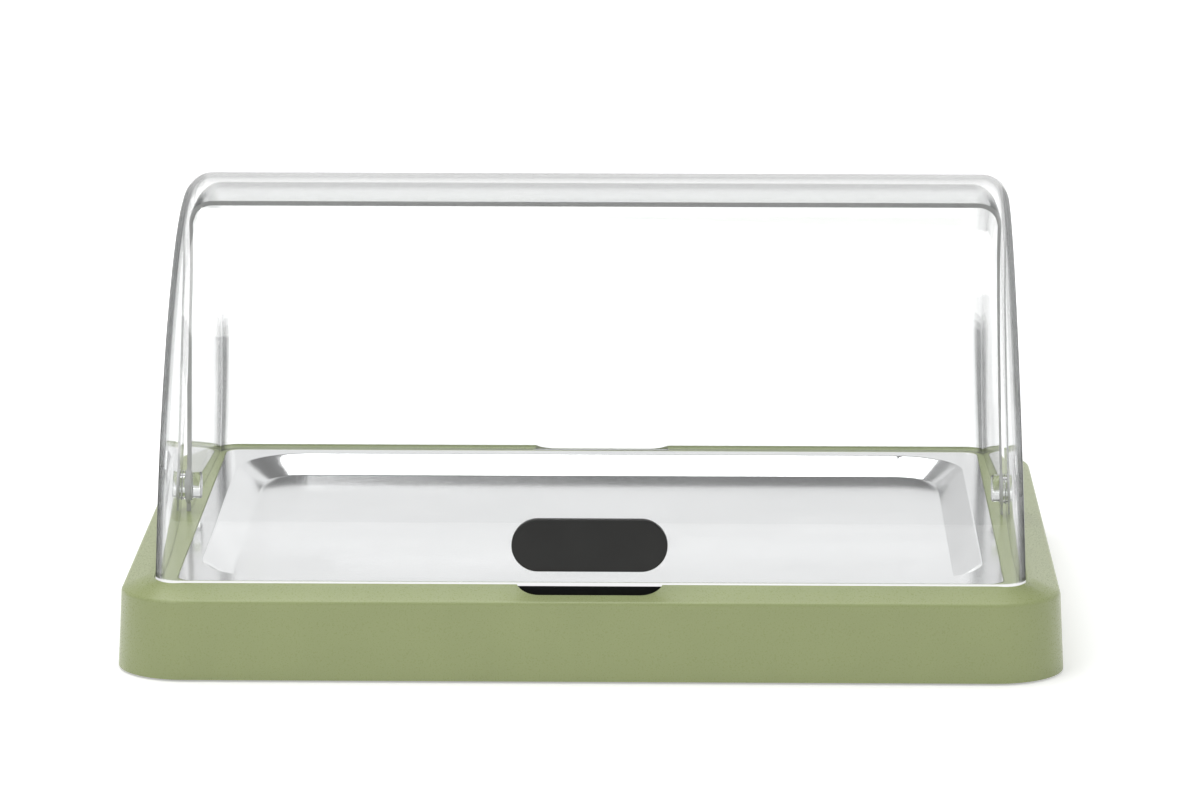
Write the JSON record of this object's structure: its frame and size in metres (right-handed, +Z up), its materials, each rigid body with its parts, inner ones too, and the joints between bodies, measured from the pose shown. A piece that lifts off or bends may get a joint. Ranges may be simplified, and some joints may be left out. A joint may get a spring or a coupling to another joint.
{
  "type": "refrigerated roll-top display",
  "caption": "Low cooled serving base with a steel tray under a clear roll-top of nested quarter-drum covers that turn on side pivots.",
  "frame": {"origin": "centre of the footprint, on the surface that the rubber feet stand on", "axes": "+X to the right along the pivot axis and the longest side, -Y to the front with the grip, +Z up"},
  "size_m": [0.44, 0.335, 0.2084],
  "materials": {
    "green_plastic": "satin moulded",
    "clear_plastic": "clear, polished",
    "tray_steel": "satin pressed sheet",
    "charcoal_plastic": "satin",
    "black_plastic": "matte",
    "grey_plastic": "matte",
    "foam": "beaded foam",
    "pack_plastic": "blow-moulded, satin",
    "pack_cap_plastic": "gloss",
    "foot_rubber": "matte",
    "screw_steel": "plated"
  },
  "bodies": {
    "base": {"base_casing": "green_plastic", "base_bottom_plate": "grey_plastic", "bottom_screws": "screw_steel", "insulation_slab": "foam", "cooling_pack_left": "pack_plastic", "cooling_pack_right": "pack_plastic", "pack_cap_left": "pack_cap_plastic", "pack_cap_right": "pack_cap_plastic", "finger_liner_front": "black_plastic", "finger_liner_rear": "black_plastic", "foot_front_left": "foot_rubber", "foot_front_right": "foot_rubber", "foot_rear_left": "foot_rubber", "foot_rear_right": "foot_rubber"},
    "pivots": {"pivot_pin_left": "clear_plastic", "pivot_pin_right": "clear_plastic", "pivot_cap_left": "clear_plastic", "pivot_cap_right": "clear_plastic", "pivot_washer_left": "clear_plastic", "pivot_washer_right": "clear_plastic"},
    "front_shell": {"front_cover": "clear_plastic", "front_grip": "charcoal_plastic"},
    "rear_shell": {"rear_cover": "clear_plastic"},
    "tray": {"serving_tray": "tray_steel"}
  },
  "joints": [
    {"name": "cover_lift", "type": "slide", "parent": "base", "child": "pivots", "axis": [0, 0, 1], "range_m": [0, 0.25]},
    {"name": "front_cover_open", "type": "hinge", "parent": "pivots", "child": "front_shell", "pos_m": [0, 0, 0.0557], "axis": [-1, 0, 0], "range_deg": [0, 82]},
    {"name": "rear_cover_open", "type": "hinge", "parent": "pivots", "child": "rear_shell", "pos_m": [0, 0, 0.0557], "axis": [1, 0, 0], "range_deg": [0, 80]},
    {"name": "tray_lift", "type": "slide", "parent": "base", "child": "tray", "axis": [0, 0, 1], "range_m": [0, 0.025]}
  ]
}
